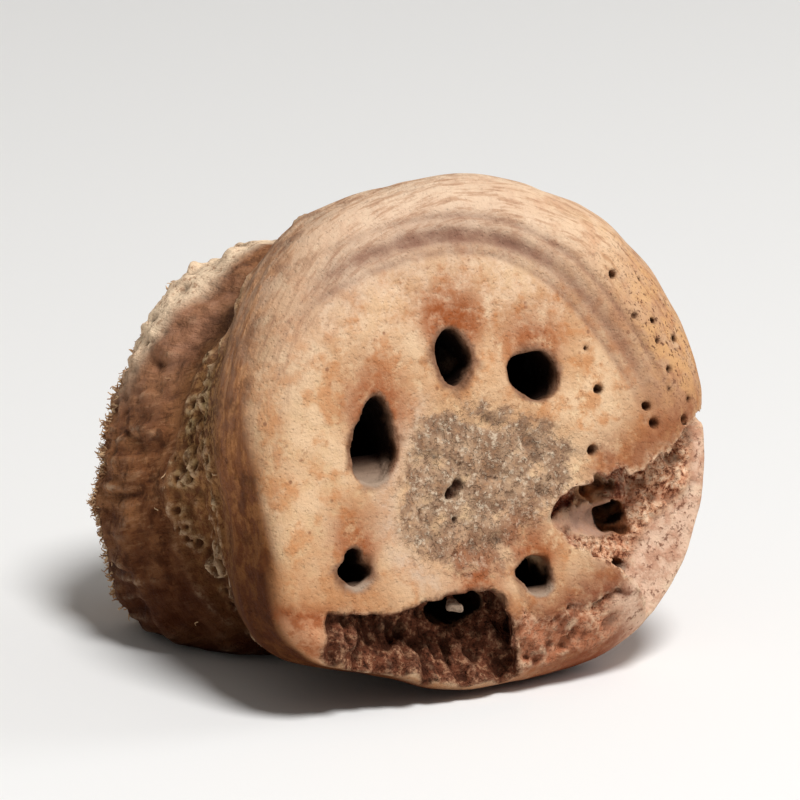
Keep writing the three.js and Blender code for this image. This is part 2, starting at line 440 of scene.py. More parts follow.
def chip_depth(x, s, z):
    """Positive where the chipped shoulder is missing."""
    top = line(CHIP_TOP, x) + 0.4 * np.clip(s, 0, 2.5)
    foot = line(CHIP_FOOT, x) + 0.15 * np.clip(s, 0, 3)
    floor = 1.2 + 0.15 * (x - 3) + 0.7 * hump(z, top - 1, 0.9) + 0.5 * hump(np.hypot(x, z), 11.4, 1)
    floor = floor + 2.6 * hump(z, top - 0.5, 0.5) * ease(x, 13.3, 14.6)
    return np.minimum(np.minimum(top - z, z - foot), np.minimum(x - 2.6, floor - s))


def scuff_depth(x, s, z):
    """Positive where a thin flake has come away, below the crack under the chip."""
    below = line(CRACK, x) + 0.25 * np.sin(2.1 * x) - z
    floor = 0.06 + 0.6 * ease(below, 0, 2.6) + 0.2 * np.clip(-11.5 - z, 0, 5)
    return np.minimum(np.minimum(below, floor + 0.12 * np.clip(x - 6, 0, 6) - s), x + 0.9)


def hollow_depth(x, s, z, rough):
    """Positive where the flesh has come out under the front cut."""
    top = line(HOLLOW_TOP, x) + 0.35 * np.clip(s, 0, 3)
    left = x + 12.5 - 0.3 * (z + 9.6)
    right = -1.7 - 0.45 * np.clip(z + 8.8, -2.6, 0) + 0.45 * np.clip(s, 0, 3) - x
    floor = 1.3 + 1.5 * ease(x, -12.6, -8.5) + 0.7 * hump(np.hypot(x + 2.6, z + 11), 0, 2)
    floor = floor * (1 - 0.5 * ease(np.hypot(x, z), 13.4, 15.4))
    sides = np.minimum(left, right) + 0.6 * rough
    return np.minimum(np.minimum(top - z + 0.22 * rough, floor - s + rough), sides)


def rind_rim(x, z):
    """Strength of the smooth pale rim of rind round the broken shoulder."""
    turn = np.arctan2(z, x)
    inner = 12.4 + 2.1 * ease(turn, -0.62, -0.28)
    return ease(np.hypot(x, z), inner, inner + 0.8) * ease(bell(turn, -0.55, 0.42), 0.12, 0.4)


crumbs = 0.17 * inner_lumps(51, 1.2, 1.2, 1.2)
crumbs += 0.15 * inner_lumps(52, 0.6, 0.6, 0.6)
crumbs += 0.2 * np.clip(inner_lumps(54, 0.36, 0.5, 0.36), -1.5, 1)
crumbs *= 1 - 0.85 * rind_rim(X, Z)
strands = 0.22 * inner_lumps(53, 0.38, 0.6, 1.1)
crumbled = np.full(body.shape, -9, np.float32)

block = near((1.5, 18), (-2, 8), (-18, 2))
crumbled[block] = chip_depth(*spots(block)) + crumbs[block]
block = near((-0.5, 18), (-2, 8), (-18, -8))
scuff = scuff_depth(*spots(block)) + 0.8 * crumbs[block]
crumbled[block] = np.maximum(crumbled[block], scuff)
block = near((-15, 2), (-2, 8), (-18, -8))
hollow = hollow_depth(*spots(block), 0.6 * crumbs[block] + strands[block])
crumbled[block] = np.maximum(crumbled[block], hollow)
body = meet(body, crumbled, BREAK_EDGE)
block = near((1, 11), (-2, 6), (-9, -3))
open_canal = tube_gap(OPEN_CANAL, *spots(block)) + 0.35 * crumbs[block]
body[block] = meet(body[block], -open_canal, 0.35)

for x, z, size in SHOULDER_PITS + FACE_PITS:
    column = body[np.searchsorted(across, x), :, np.searchsorted(upward, z)]
    surface = behind[np.argmax(column < 0)]
    block = near((x - 2, x + 2), (surface - 2, surface + 3), (z - 2, z + 2))
    spot_x, spot_s, spot_z = spots(block)
    away = distance(spot_x - x, spot_z - z, 0.6 * (spot_s - surface))
    body[block] = meet(body[block], 0.8 * size - away + 0.07 * ragged[block], 0.1)
for x, s, z, size in LEDGE_PITS:
    block = near((x - 2, x + 2), (s - 2, s + 2), (z - 2, z + 2))
    spot_x, spot_s, spot_z = spots(block)
    away = distance(spot_x - x, spot_z - z, spot_s - s)
    away += 1.3 * crumbs[block] + 0.12 * ragged[block]
    body[block] = meet(body[block], size - away, 0.1)
block = near((-5, -1), (-1, 5), (-12, -7))
for tube in (SHRED_ROOT, SHRED_TIP):
    body[block] = np.minimum(body[block], tube_gap(tube, *spots(block)) + 0.14 * ragged[block])

# ==== The flattened underside ====
# The node dried lying on its side, so the flank is flat where it rests. The front swelling is the
# bigger one, so the axis slopes down towards the rear.
MILLIMETRES = 1000
SLOPE = math.radians(15)
FRONT_ASIDE = 0.278  # the front cut's middle: beside the box's middle, behind its front, and up
FRONT_BEHIND = 3.136
FRONT_HIGH = 16.1
SOFT_FOOT = 0.8
low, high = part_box("lotus_root_node")
box_middle, box_front = MILLIMETRES * (low.x + high.x) / 2, MILLIMETRES * low.y
FRONT_PLACE = np.array([box_middle + FRONT_ASIDE, box_front + FRONT_BEHIND, FRONT_HIGH])
height = Z * math.cos(SLOPE) - S * math.sin(SLOPE) + FRONT_PLACE[2]
body = meet(body, -height.astype(np.float32), SOFT_FOOT)

# ==== The skin ====
# What shows is one hard dried surface that runs unbroken from the rind over both cuts and down the
# canals. One closed surface is laid over the shape, thinned to an even mesh, and settled back onto
# the shape, which keeps its fine relief.
MOST_FACES = 194_000
CELL_CORNERS = [(i, j, k) for i in (0, 1) for j in (0, 1) for k in (0, 1)]


def lay_skin(field):
    """A corner in each grid cell that the surface crosses, and four-sided faces between them."""
    solid = field < 0
    size = np.array(field.shape) - 1
    count = np.zeros(size, np.int8)
    for i, j, k in CELL_CORNERS:
        count += solid[i:size[0] + i, j:size[1] + j, k:size[2] + k]
    cells = np.argwhere((count > 0) & (count < 8))
    values = [field[tuple((cells + c).T)] for c in CELL_CORNERS]
    total = np.zeros((len(cells), 3))
    hits = np.zeros(len(cells))
    for a, one in enumerate(CELL_CORNERS):
        for b, other in enumerate(CELL_CORNERS):
            if b <= a or np.abs(np.subtract(one, other)).sum() != 1:
                continue
            crossed = (values[a] < 0) != (values[b] < 0)
            share = np.where(crossed, values[a] / np.where(crossed, values[a] - values[b], 1), 0)
            total += crossed[:, None] * (np.array(one) + share[:, None] * np.subtract(other, one))
            hits += crossed
    places = cells + total / hits[:, None]
    number = np.full(size, -1, np.int32)
    number[tuple(cells.T)] = np.arange(len(cells))
    faces = []
    for axis in range(3):
        ahead, side, rise = np.roll(np.eye(3, dtype=int), axis, axis=0)
        steps = np.array(field.shape) - ahead
        here = solid[:steps[0], :steps[1], :steps[2]]
        there = solid[ahead[0]:, ahead[1]:, ahead[2]:]
        edges = np.argwhere(here != there)
        outward = here[tuple(edges.T)]
        loop = [number[tuple((edges - d).T)] for d in (side + rise, rise, 0 * side, side)]
        loop = np.stack(loop, 1)
        loop[~outward] = loop[~outward][:, ::-1]
        faces.append(loop)
    return places, np.concatenate(faces)


def main_piece(places, faces):
    """Only the largest connected piece, without loose crumbs."""
    label = np.arange(len(places))
    while True:
        lowest = label[faces].min(1)
        before = label.copy()
        for k in range(4):
            np.minimum.at(label, faces[:, k], lowest)
        label = label[label]
        if (label == before).all():
            break
    biggest = np.bincount(label).argmax()
    kept = label == biggest
    renumber = np.cumsum(kept) - 1
    return places[kept], renumber[faces[kept[faces[:, 0]]]]


def read(field, places):
    """Values of a grid between its points."""
    first = np.clip(places.astype(int), 0, np.array(field.shape) - 2)
    t = places - first
    value = 0
    for i, j, k in CELL_CORNERS:
        weight = abs(1 - i - t[:, 0]) * abs(1 - j - t[:, 1]) * abs(1 - k - t[:, 2])
        value = value + weight * field[first[:, 0] + i, first[:, 1] + j, first[:, 2] + k]
    return value


def settle_on(field, places):
    """Moves each place onto the surface."""
    for _ in range(2):
        steps = 0.5 * np.eye(3)
        slope = np.stack([read(field, places + d) - read(field, places - d) for d in steps], 1)
        value = read(field, places)
        move = slope * (value / np.maximum((slope**2).sum(1), 1e-3))[:, None]
        places = places - np.clip(move, -0.4, 0.4)
    return places


def make_mesh(name, corners, faces):
    mesh = bpy.data.meshes.new(name)
    mesh.vertices.add(len(corners))
    mesh.vertices.foreach_set("co", np.asarray(corners, np.float32).ravel())
    mesh.loops.add(faces.size)
    mesh.loops.foreach_set("vertex_index", faces.astype(np.int32).ravel())
    mesh.polygons.add(len(faces))
    mesh.polygons.foreach_set("loop_start", np.arange(0, faces.size, faces.shape[1], dtype=np.int32))
    mesh.update(calc_edges=True)
    return mesh


def laid_down(x, s, z):
    """From the node's own frame to where it lies, in metres."""
    y = s * math.cos(SLOPE) + z * math.sin(SLOPE)
    up = z * math.cos(SLOPE) - s * math.sin(SLOPE)
    return (np.stack([x, y, up], 1) + FRONT_PLACE) / MILLIMETRES


def put(name, data):
    made = bpy.data.objects.new(name, data)
    bpy.context.scene.collection.objects.link(made)
    return made


grid_start = np.array([across[0], behind[0], upward[0]])
places, faces = main_piece(*lay_skin(body))
rough = put("rough_skin", make_mesh("rough_skin", places, faces))
thin = rough.modifiers.new("thin", "DECIMATE")
thin.ratio = min(1, MOST_FACES / (2 * len(faces)))
thin.use_collapse_triangulate = True
thinned = bpy.data.meshes.new_from_object(rough.evaluated_get(bpy.context.evaluated_depsgraph_get()))
bpy.data.objects.remove(rough)
thinned.validate()

places = np.zeros(len(thinned.vertices) * 3, np.float32)
thinned.vertices.foreach_get("co", places)
places = settle_on(body, places.reshape(-1, 3).astype(float))
nx, ns, nz = (grid_start + places * STEP).T
thinned.vertices.foreach_set("co", laid_down(nx, ns, nz).astype(np.float32).ravel())
thinned.update()
thinned.name = "lotus_node"
node = put("dried_lotus_node", thinned)
thinned.shade_smooth()

# ==== Where each colour lies ====
# Drying leaves its own colours: orange stains round the canal mouths, grey pith, mossy scars, dirt in
# every crease and rubbed pale edges. The crease dirt is also painted shade and the rubbed edges also a
# painted highlight; other strengths paint shade down the canals, in the pits, in the notch, under the
# ledge, on the right shoulder and low on the flank, and a painted highlight on the rear crest. Each is a
# strength from 0 to 1 over the skin.


def softened(field, reach):
    """The field averaged over a box, to tell edges from creases."""
    for axis in range(3):
        total = np.cumsum(field, axis=axis, dtype=np.float64)
        size = field.shape[axis]
        ahead = np.minimum(np.arange(size) + reach, size - 1)
        back = np.maximum(np.arange(size) - reach - 1, 0)
        spread = np.expand_dims(ahead - back, [a for a in range(3) if a != axis])
        field = (np.take(total, ahead, axis) - np.take(total, back, axis)) / spread
    return field.astype(np.float32)


def mark(mesh, name, values):
    """Stores a strength or a place on each point of a mesh."""
    kind, field = ("FLOAT", "value") if np.ndim(values) == 1 else ("FLOAT_VECTOR", "vector")
    layer = mesh.attributes.new(name, kind, "POINT")
    layer.data.foreach_set(field, np.asarray(values, np.float32).ravel())


def stain(name, strength):
    mark(thinned, name, np.clip(strength, 0, 1))


close = np.clip(body, -1.5, 1.5)
edge = read(softened(close, max(1, round(0.45 / STEP))), places)
# paler on edges and darker in creases: wear and dirt, and also painted highlight and painted shade
stain("edge", ease(edge, 0.02, 0.22))
stain("crease_dirt_and_shade", ease(-edge, 0, 0.16))

level_x, level_z = straighten(nx, ns, nz)
turn = np.arctan2(level_z, level_x)


def read_flank(values, bearings, distances):
    """Values of a map of the flank at these bearings and distances behind the front cut."""
    wrapped = np.concatenate([values, values[:1]])[:, :, None]
    column = (bearings + math.pi) % (2 * math.pi) / (2 * math.pi) * len(BEARINGS)
    spot = np.stack([column, (distances - behind[0]) / STEP, 0 * distances], 1)
    return read(np.repeat(wrapped, 2, axis=2), spot)


scar = read_flank(scar_map, turn, ns)

mouths = np.full(len(nx), 9.0)
glow = np.zeros(len(nx))
for canal in CANALS:
    middle, radius = outline(canal[0])
    gap = beyond(radius, nx - middle[0], nz - middle[1])
    lift = ease(np.arctan2(nz - middle[1], np.abs(nx - middle[0] - 0.4)), 0, 1.3)
    height, warmth = (2.3, 1.3) if canal[0] is MOUTH_TOP else (1.9, 1)
    reach = 0.45 + height * lift
    glow = np.maximum(glow, warmth * (0.25 + 0.75 * lift) * np.exp(-((np.maximum(gap, 0) / reach) ** 2)))
    mouths = np.minimum(mouths, canal_gap(canal, nx, ns, nz))
in_canal = fade(mouths, 0.08, 0.24)
on_flap = np.zeros(len(nx))
for index, flap in FLAPS.items():
    middle, radius = outline(CANALS[index][0])
    leaning = fade(np.abs(flap_gap(flap, ns, nz)), 0.3, 0.6)
    leaning *= fade(ns, 0.15 * flap[1], 0.9 * flap[1])
    leaning *= fade(beyond(radius, nx - middle[0], nz - middle[1]), 0.1, 0.5)
    on_flap = np.maximum(on_flap, leaning)
# painted shade: dark paint in and round the pits, darker than their shallow hollows would shade
pit_shade = np.zeros(len(nx))
for x, z, size in SHOULDER_PITS + FACE_PITS:
    dark = 0.9 if size > 0.33 else 0.55
    pit_shade = np.maximum(pit_shade, dark * fade(np.hypot(nx - x, nz - z), 0.3 * size, 1.1 * size) * (ns < 8))
broken = fade(-read(crumbled, places), 0, 0.4)
open_wall = fade(tube_gap(OPEN_CANAL, nx, ns, nz), 0.05, 0.4)
on_cut = fade(ns, 0.5, 1.8)
chip_side = ease(nx - 0.45 * ns, -0.5, 0.1)
in_canal *= 1 - 0.95 * broken * ease(mouths, -0.06, 0.04)
on_shred = fade(tube_gap(SHRED_TIP, nx, ns, nz), 0.08, 0.22)
in_canal = np.maximum(in_canal, on_shred)
on_flap = np.maximum(on_flap, on_shred)

stain("skin_line", on_cut * skin_line(nx, nz))
stain("pith", on_cut * in_pith(nx, nz))
stain("glow", on_cut * glow)
stain("canal", in_canal)
# painted shade: the canal lining darkens to nearly black a little way in
stain("deep", in_canal * ease(ns, 0, 0.9) * fade(ns, 19, 26) * (1 - on_flap))
stain("flap", in_canal * on_flap)
for x, s, z, size in LEDGE_PITS:
    pit_shade = np.maximum(pit_shade, 0.95 * fade(distance(nx - x, ns - s, nz - z), 0.7 * size, 1.7 * size))
stain("pit", pit_shade * (1 - on_shred))
rind = fade(ns, 4.5, 6.5) * rind_rim(nx, nz)
stain("crumb", broken * chip_side * (1 - open_wall) * (1 - rind))
stain("hollow", broken * (1 - chip_side))
below_crack = line(CRACK, nx) + 0.25 * np.sin(2.1 * nx) - nz
stain("crack", on_cut * hump(below_crack, -0.1, 0.35) * ease(nx, -1.5, -0.8) * fade(nx, 8.5, 10))
stain("scuffed", broken * chip_side * ease(below_crack, -0.4, 0.8) * (1 - rind) * fade(nx, 7, 10))
stain("open_wall", open_wall * (1 - pit_shade))
mossy = 0.1 + 0.9 * bell(turn, 2.92, 0.48)
stain("joint", mossy * ease(ns, 5.2, 7.2) * fade(ns, 12.6, 14.8) * (1 - in_canal))
stain("scar", scar)
stain("rear", ease(ns + 0.7 * np.sin(5 * turn) + 0.5 * np.sin(11 * turn + 1), 10.6, 14.6))
stain("rear_cut", fade(LENGTH - ns, 0.5, 1.6))
# a pale rim on the upper-left crest, paler partly as a painted highlight where light catches it
rim_start = 16.6 + 3.4 * ease(turn, 2, 2.8)
rim_fade = ease(bell(turn, 2.05, 0.6), 0.2, 0.75) * (1 - 0.75 * ease(ns, LENGTH - 1.6, LENGTH - 0.7))
stain("rear_rim_and_highlight", ease(ns, rim_start, rim_start + 1.8) * rim_fade * (1 - in_canal))
stain("dusty", ease(ns, 14.5, 16.5) * bell(turn, 2.35, 0.4))
# painted shadow in the valley between the front swelling and the rear crest
stain("notch_shadow", bell(turn, 2.2, 0.45) * hump(ns, 13.8, 2.2))
stain("rim", rind)
# reddish stain low on the right, darkened partly as painted shade
stain("rust_and_shade", bell(turn, -1.15, 0.55) * ease(np.hypot(nx, nz), 8.8, 12) * fade(ns, 6, 12))
crisp = bell(turn, CRISP_BEARING, 0.8)
stain("mouth", fade(mouths, 0.3, 1.2))
stain("top", bell(turn, 1.35, 1.2))
stain("flank", ease(ns, 1.6 - 1.35 * crisp, 4.4 - 3.5 * crisp) * (1 - in_canal))
stain("left", bell(turn, 3.4, 1))
# redder tone on the right shoulder, darker partly as painted shade
stain("ruddy_and_shaded_right", bell(turn, -0.2, 0.7) * ease(np.hypot(nx, nz), 7, 12))
shoulder = fade(ns, 4, 7) * ease(np.hypot(nx + 1, nz + 1), 11, 14) * (1 - crisp)
stain("shoulder", shoulder)
stain("crown", shoulder * bell(turn, 1.75, 0.9))
stain("upper", on_cut * ease(nz, 3, 10))
stain("pitted", shoulder * bell(turn, 0.35, 0.5))
fold = nz + 9.7 + 0.22 * (nx + 12.6)
on_tongue = fade(fold, -0.5, 0.1) * fade(nx, -12.6, -11.8) * (1 - broken)
stain("tongue", on_tongue * fade(ns, 0.5, 1.4))
stain("fold", fade(ns, 0.8, 2) * hump(fold, -0.1, 0.5) * fade(nx, -11.4, -9.4))
stain("foot", on_cut * fade(nz, -9.4, -4.5) * fade(nx, -11, -5))
pith_gap = beyond(pith_radius, nx - pith_middle[0], nz - pith_middle[1])
stain("pale_ring", on_cut * hump(pith_gap, 0.8, 0.9) * fade(nx, -6, -3))
above_chip = nz - line(CHIP_TOP, nx)
stain("ledge", on_cut * hump(above_chip, 0.6, 1.8) * ease(nx, 4.5, 7.5))
# painted shadow on the crumbs under the ledge
under_ledge = hump(above_chip, -1.2, 1.35) * fade(nx, 8.6, 10.6)
stain("shaded_crumb", under_ledge * broken * chip_side)
# painted shade on the lower left flank, which the pale floor would otherwise light
stain("shade", ease(bell(turn, 4.1, 0.9), 0.1, 0.9))

mark(thinned, "own_place", np.stack([nx, ns, nz], 1))
mark(thinned, "round", np.stack([15 * np.cos(turn), ns + np.hypot(nx, nz), 15 * np.sin(turn)], 1))

# ==== The dried finish ====
# Starchy flesh dried to a hard, matt, slightly waxy surface: tan on the cut, red brown on the
# flank, painted shade nearly black down the canals, and grained everywhere with pores, fibres and dust.


def new_finish(name):
    material = bpy.data.materials.new(name)
    material.use_nodes = True
    return material, material.node_tree, material.node_tree.nodes["Principled BSDF"]


finish, tree, shader = new_finish("dried_rhizome")


def dye(*shades):
    """A colour from its everyday 0 to 255 shades of red, green, blue."""
    return [((shade / 255 + 0.055) / 1.055) ** 2.4 for shade in shades] + [1]


def add(kind, **settings):
    made = tree.nodes.new("ShaderNode" + kind)
    for name, value in settings.items():
        setattr(made, name, value)
    return made


def feed(socket, value):
    """Gives a socket a value, another socket's value, or the strength stored under a name."""
    if isinstance(value, str):
        value = add("Attribute", attribute_name=value).outputs["Fac"]
    if isinstance(value, bpy.types.NodeSocket):
        tree.links.new(value, socket)
    else:
        socket.default_value = value


def where(name):
    return add("Attribute", attribute_name=name).outputs["Vector"]


def sums(how, one, other):
    made = add("Math", operation=how)
    feed(made.inputs[0], one)
    feed(made.inputs[1], other)
    return made.outputs[0]


def times(*values):
    total = values[0]
    for value in values[1:]:
        total = sums("MULTIPLY", total, value)
    return total


def spread(value, low, high, to_low=0, to_high=1):
    made = add("MapRange", interpolation_type="SMOOTHSTEP")
    for socket, setting in zip(made.inputs, (value, low, high, to_low, to_high)):
        feed(socket, setting)
    return made.outputs[0]


def pattern(kind, place, pitches):
    """A noise with a pitch in millimetres along each axis."""
    scaled = add("Mapping")
    feed(scaled.inputs["Vector"], place)
    feed(scaled.inputs["Scale"], [1 / pitch for pitch in pitches])
    made = add(kind)
    feed(made.inputs["Vector"], scaled.outputs[0])
    feed(made.inputs["Scale"], 1)
    return made


def grain(place, pitch, detail=3, stretch=(1, 1, 1), rough=0.55):
    """Cloudy noise with this pitch in millimetres, drawn out along an axis by `stretch`."""
    made = pattern("TexNoise", place, [pitch * share for share in stretch])
    feed(made.inputs["Detail"], detail)
    feed(made.inputs["Roughness"], rough)
    return made.outputs[0]


def cells(place, pitch):
    """Distance to the middle of the nearest of scattered cells with this pitch."""
    return pattern("TexVoronoi", place, [pitch] * 3).outputs["Distance"]


def over(base, colour, strength):
    """One colour over another: each a socket, or a dye's shades."""
    made = add("Mix", data_type="RGBA")
    feed(made.inputs[0], strength)
    for index, value in ((6, base), (7, colour)):
        feed(made.inputs[index], dye(*value) if isinstance(value, tuple) else value)
    return made.outputs[2]


def tint(base, shades, name, noise, *limits):
    """The base with a dye over one kind of place, as strong as the noise says."""
    return over(base, shades, times(name, spread(noise, *limits)))


own, around = where("own_place"), where("round")
blotch = grain(own, 4.5, 4)
patch = grain(own, 2, 4, rough=0.6)
mottle = grain(own, 1.1, 5, rough=0.65)
speck = grain(own, 0.42, 4, rough=0.7)
dots = grain(own, 0.5, 2, rough=0.5)
crumb_pits = grain(own, 0.3, 3, rough=0.55)
streaks = grain(around, 0.42, 5, stretch=(1, 5, 1), rough=0.65)
rings = grain(around, 0.55, 5, stretch=(3.6, 1, 3.6), rough=0.68)
dashes = grain(around, 0.24, 2, stretch=(1.2, 1, 1.2), rough=0.5)
pores = cells(own, 0.9)
fine_pores = cells(own, 0.34)

# the cut flesh: tan, blotched orange and cream, flecked brown
colour = over((206, 160, 119), (227, 191, 153), spread(blotch, 0.4, 0.6))
colour = over(colour, (198, 134, 84), spread(patch, 0.47, 0.62, 0, 0.75))
colour = over(colour, (232, 200, 160), spread(mottle, 0.46, 0.3, 0, 0.85))
colour = over(colour, (214, 176, 134), times(spread(mottle, 0.58, 0.34), "left", 0.7))
colour = over(colour, (240, 210, 180), times("upper", spread(mottle, 0.6, 0.4), 0.55))
colour = over(colour, (148, 96, 62), spread(speck, 0.58, 0.7, 0, 0.5))
colour = over(colour, (120, 74, 48), times(spread(pores, 0.2, 0.08), spread(patch, 0.4, 0.6), 0.7))
# redder tone on the right, partly painted shade
colour = tint(colour, (164, 106, 66), "ruddy_and_shaded_right", mottle, 0.3, 0.65, 0.95, 0.55)
colour = over(colour, (228, 200, 174), times("crown", 0.8))
colour = tint(colour, (186, 144, 114), "shoulder", rings, 0.47, 0.62, 0, 0.7)
dim_rings = times(spread(rings, 0.58, 0.72), spread(patch, 0.44, 0.6, 0.1, 0.45))
colour = over(colour, (128, 88, 68), times("shoulder", dim_rings))
colour = over(colour, (216, 166, 114), times("pitted", spread(mottle, 0.58, 0.4), 0.8))
colour = over(colour, (164, 110, 76), times("pitted", spread(rings, 0.52, 0.64), 0.5))
colour = tint(colour, (92, 54, 38), "pitted", dashes, 0.59, 0.65, 0, 0.8)

# the skin rolled over the cut, and the flank behind it
side = over((144, 78, 32), (198, 130, 74), spread(mottle, 0.42, 0.62))
side = over(side, (96, 50, 22), spread(rings, 0.5, 0.66, 0, 0.35))
side = over(side, (84, 42, 18), spread(patch, 0.5, 0.64, 0, 0.7))
roll = over((232, 206, 178), (198, 160, 130), spread(rings, 0.42, 0.62))
roll = over(roll, (174, 132, 104), spread(patch, 0.47, 0.62, 0, 0.7))
roll = over(roll, (238, 214, 184), spread(mottle, 0.5, 0.36, 0, 0.6))
roll = over(roll, (124, 88, 68), times(spread(rings, 0.58, 0.72), spread(patch, 0.44, 0.6, 0.1, 0.5)))
side = over(side, roll, "top")
rear_side = over((132, 82, 50), (166, 112, 72), spread(patch, 0.4, 0.62))
rear_side = over(rear_side, (188, 136, 96), spread(streaks, 0.53, 0.66, 0, 0.7))
rear_side = over(rear_side, (86, 48, 29), spread(streaks, 0.46, 0.33, 0, 0.75))
rear_side = over(rear_side, (66, 37, 22), spread(mottle, 0.5, 0.64, 0, 0.65))
side = over(side, rear_side, "rear")
# painted shadow in the notch
side = over(side, (42, 26, 20), times("notch_shadow", 0.97))
# painted shade low on the flank
side = tint(side, (58, 23, 4), "shade", patch, 0.3, 0.6, 0.98, 0.84)
colour = over(colour, side, "flank")
# reddish stain low on the right, partly painted shade
colour = tint(colour, (126, 64, 40), "rust_and_shade", mottle, 0.35, 0.6, 0.6, 0.95)

# the joint: mossy dust between root scars
moss = over((94, 58, 34), (168, 124, 78), spread(speck, 0.42, 0.58))
moss = over(moss, (54, 32, 20), spread(mottle, 0.54, 0.66, 0, 0.7))
colour = over(colour, moss, times("joint", spread(mottle, 0.35, 0.55, 0.6, 0.95)))
scabs = times("scar", "joint", spread(patch, 0.4, 0.58, 0.15, 1))
colour = over(colour, (190, 162, 116), times(scabs, spread(speck, 0.35, 0.6, 0.2, 0.95)))

# the dark skin line, the pith, and the orange stains
colour = tint(colour, (142, 104, 86), "skin_line", patch, 0.3, 0.6, 0.6, 1)
pith = over((182, 150, 122), (146, 114, 90), spread(mottle, 0.4, 0.6))
pith = over(pith, (216, 194, 168), spread(speck, 0.52, 0.66, 0, 0.85))
pith = over(pith, (92, 64, 48), spread(dots, 0.36, 0.28, 0, 0.8))
uneven = times(sums("SUBTRACT", sums("ADD", mottle, patch), 1), 3)
pithy = spread(sums("ADD", "pith", uneven), 0, 0.9)
for layer in (
    ((184, 130, 88), "foot", mottle, 0.35, 0.6, 0.7, 1),
    ((212, 182, 156), "pale_ring", mottle, 0.6, 0.4, 0.4, 0.9),
    ((142, 84, 54), "ledge", mottle, 0.38, 0.6, 0.3, 0.85),
):
    colour = tint(colour, *layer)
tongue = over((206, 150, 112), (176, 108, 70), spread(mottle, 0.44, 0.6))
colour = over(colour, tongue, times("tongue", 0.95))
colour = tint(colour, (146, 76, 40), "fold", mottle, 0.35, 0.55, 0.45, 0.95)
pithy = times(pithy, spread("pith", 0, 0.3), spread(speck, 0.3, 0.5, 0.6, 1))
colour = over(colour, pith, pithy)
colour = tint(colour, (156, 86, 48), "glow", mottle, 0.3, 0.6, 0.45, 1)
# painted shade in the pits
colour = over(colour, (62, 36, 24), "pit")

# broken places
crumb = over((206, 148, 112), (244, 206, 172), spread(speck, 0.44, 0.62))
crumb = over(crumb, (178, 110, 78), spread(patch, 0.46, 0.6, 0, 0.6))
crumb = over(crumb, (100, 50, 34), spread(speck, 0.47, 0.38, 0, 0.9))
# the first two layers paint the shadow under the ledge
for layer in (
    ((132, 66, 45), "shaded_crumb", speck, 0.62, 0.4, 0.65, 1),
    ((66, 26, 17), "shaded_crumb", mottle, 0.42, 0.53, 0, 0.9),
    ((176, 110, 78), "scuffed", mottle, 0.3, 0.6, 0.5, 0.9),
    ((96, 50, 34), "scuffed", patch, 0.5, 0.62, 0, 0.6),
):
    crumb = tint(crumb, *layer)
colour = over(colour, crumb, "crumb")
pale_rind = over((222, 186, 160), (194, 148, 122), spread(mottle, 0.42, 0.62))
pale_rind = over(pale_rind, (234, 206, 176), spread(patch, 0.5, 0.66, 0, 0.7))
pale_rind = over(pale_rind, (112, 68, 48), spread(speck, 0.545, 0.64, 0, 0.8))
colour = over(colour, pale_rind, "rim")
colour = over(colour, (110, 58, 38), times("crack", spread(mottle, 0.35, 0.6), 0.8))
fibre = over((108, 62, 43), (168, 122, 92), spread(speck, 0.5, 0.64))
fibre = over(fibre, (56, 30, 20), spread(speck, 0.47, 0.36, 0, 0.85))
fibre = over(fibre, (64, 35, 23), spread(mottle, 0.5, 0.38, 0, 0.8))
colour = over(colour, fibre, "hollow")
colour = tint(colour, (174, 138, 118), "open_wall", mottle, 0.62, 0.4, 0.7, 0.98)

# the rear cut's rims, the pale crest partly a painted highlight, and the canal linings
rims = over((168, 122, 84), (206, 164, 122), spread(mottle, 0.4, 0.65))
colour = over(colour, rims, "rear_cut")
for layer in (
    ((182, 134, 106), "dusty", mottle, 0.35, 0.6, 0.9, 0.4),
    ((255, 226, 192), "rear_rim_and_highlight", mottle, 0.6, 0.42, 0.75, 1),
    ((168, 118, 86), "rear_rim_and_highlight", speck, 0.48, 0.36, 0, 0.7),
):
    colour = tint(colour, *layer)
lining = over((146, 108, 84), (108, 72, 50), spread(mottle, 0.4, 0.65))
# painted shade deep in the canals
lining = over(lining, (26, 15, 10), "deep")
lining = over(lining, (168, 144, 124), "flap")
colour = over(colour, lining, "canal")

# wear and painted light: rubbed pale edges that are also a painted highlight, and dirt in the creases
# that is also painted shade
sound = times(spread("mouth", 0, 1, 1, 0), spread("hollow", 0, 1, 1, 0.15))
rubbed_and_highlight = times("edge", spread(speck, 0.4, 0.6, 0.1, 0.55), sound)
rubbed_and_highlight = times(rubbed_and_highlight, spread("shaded_crumb", 0, 0.7, 1, 0.2))
colour = over(colour, (232, 202, 168), rubbed_and_highlight)
dirt_and_crease_shade = times("crease_dirt_and_shade", spread(speck, 0.3, 0.6, 0.35, 0.8))
dirt_and_crease_shade = times(dirt_and_crease_shade, spread("crumb", 0, 1, 1, 0.5))
colour = over(colour, (54, 27, 17), dirt_and_crease_shade)
feed(shader.inputs["Base Color"], colour)

feed(shader.inputs["Roughness"], spread(mottle, 0.3, 0.7, 0.66, 0.9))
feed(shader.inputs["Specular IOR Level"], 0.06)

relief = times(mottle, 0.8)
for layer in ((speck, 0.55), (streaks, "rear", 1.1), (rings, "flank", 0.35)):
    relief = sums("ADD", relief, times(*layer))
spongy = sums("MAXIMUM", "pith", sums("MAXIMUM", "crumb", "hollow"))
relief = sums("SUBTRACT", relief, times(spread(crumb_pits, 0.46, 0.36), spongy, 0.8))
relief = sums("SUBTRACT", relief, spread(fine_pores, 0.32, 0.1, 0, 0.15))
bump = add("Bump")
feed(bump.inputs["Strength"], 0.7)
feed(bump.inputs["Distance"], 0.0004)
feed(bump.inputs["Height"], relief)
feed(shader.inputs["Normal"], bump.outputs[0])
thinned.materials.append(finish)

